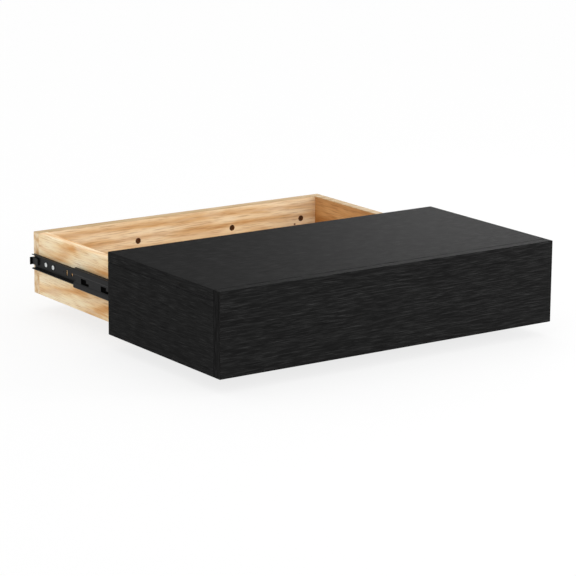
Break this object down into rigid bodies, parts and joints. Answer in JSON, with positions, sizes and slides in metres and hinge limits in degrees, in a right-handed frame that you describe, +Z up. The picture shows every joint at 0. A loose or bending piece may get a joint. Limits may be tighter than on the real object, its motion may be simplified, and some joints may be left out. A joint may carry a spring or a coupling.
{
  "type": "floating shelf with drawer",
  "caption": "Floating wall shelf: a dark four-panel shell slides forward on ball-bearing slides off a light wooden box that is screwed to the wall.",
  "frame": {"origin": "midpoint of the row of wall holes in the box's rear board, on the wall plane", "axes": "+X along the shelf's length, to the right seen from the room; +Y into the wall; +Z up"},
  "size_m": [0.61, 0.582, 0.128],
  "materials": {
    "light_wood": "clear matt lacquer over pale straight-grained wood",
    "black_wood": "black stained open-grained veneer, satin",
    "slide_black": "black electrocoated cold-rolled steel, semi-gloss",
    "retainer_steel": "bare zinc-plated strip",
    "ball_steel": "polished bearing steel",
    "pad_rubber": "matt black rubber",
    "stop_plastic": "matt black moulded plastic"
  },
  "bodies": {
    "wall_box": {"rear_board": "light_wood", "front_board": "light_wood", "left_board": "light_wood", "right_board": "light_wood", "base_panel": "light_wood", "box_tongues": "light_wood", "inner_member_left": "slide_black", "rear_pad_left": "pad_rubber", "inner_member_right": "slide_black", "rear_pad_right": "pad_rubber"},
    "shell": {"top_panel": "black_wood", "front_panel": "black_wood", "left_side_panel": "black_wood", "right_side_panel": "black_wood", "shell_tongues": "light_wood", "outer_member_left": "slide_black", "outer_stop_left": "stop_plastic", "outer_member_right": "slide_black", "outer_stop_right": "stop_plastic"},
    "middle_left": {"middle_member_left": "slide_black", "middle_stop_left": "stop_plastic"},
    "inner_cage_left": {"inner_retainer_left": "retainer_steel", "inner_balls_left": "ball_steel"},
    "outer_cage_left": {"outer_retainer_left": "retainer_steel", "outer_balls_left": "ball_steel"},
    "middle_right": {"middle_member_right": "slide_black", "middle_stop_right": "stop_plastic"},
    "inner_cage_right": {"inner_retainer_right": "retainer_steel", "inner_balls_right": "ball_steel"},
    "outer_cage_right": {"outer_retainer_right": "retainer_steel", "outer_balls_right": "ball_steel"}
  },
  "joints": [
    {"name": "shell_slide", "type": "slide", "parent": "wall_box", "child": "shell", "axis": [0, -1, 0], "range_m": [-0.277, 0.003]},
    {"name": "middle_left_slide", "type": "slide", "parent": "wall_box", "child": "middle_left", "axis": [0, -1, 0], "range_m": [-0.1385, 0.0015]},
    {"name": "inner_cage_left_slide", "type": "slide", "parent": "wall_box", "child": "inner_cage_left", "axis": [0, -1, 0], "range_m": [-0.06925, 0.00075]},
    {"name": "outer_cage_left_slide", "type": "slide", "parent": "wall_box", "child": "outer_cage_left", "axis": [0, -1, 0], "range_m": [-0.20775, 0.00225]},
    {"name": "middle_right_slide", "type": "slide", "parent": "wall_box", "child": "middle_right", "axis": [0, -1, 0], "range_m": [-0.1385, 0.0015]},
    {"name": "inner_cage_right_slide", "type": "slide", "parent": "wall_box", "child": "inner_cage_right", "axis": [0, -1, 0], "range_m": [-0.06925, 0.00075]},
    {"name": "outer_cage_right_slide", "type": "slide", "parent": "wall_box", "child": "outer_cage_right", "axis": [0, -1, 0], "range_m": [-0.20775, 0.00225]}
  ],
  "couplings": [
    {"joint": "middle_left_slide", "follows": "shell_slide", "ratio": 0.5},
    {"joint": "inner_cage_left_slide", "follows": "shell_slide", "ratio": 0.25},
    {"joint": "outer_cage_left_slide", "follows": "shell_slide", "ratio": 0.75},
    {"joint": "middle_right_slide", "follows": "shell_slide", "ratio": 0.5},
    {"joint": "inner_cage_right_slide", "follows": "shell_slide", "ratio": 0.25},
    {"joint": "outer_cage_right_slide", "follows": "shell_slide", "ratio": 0.75}
  ]
}
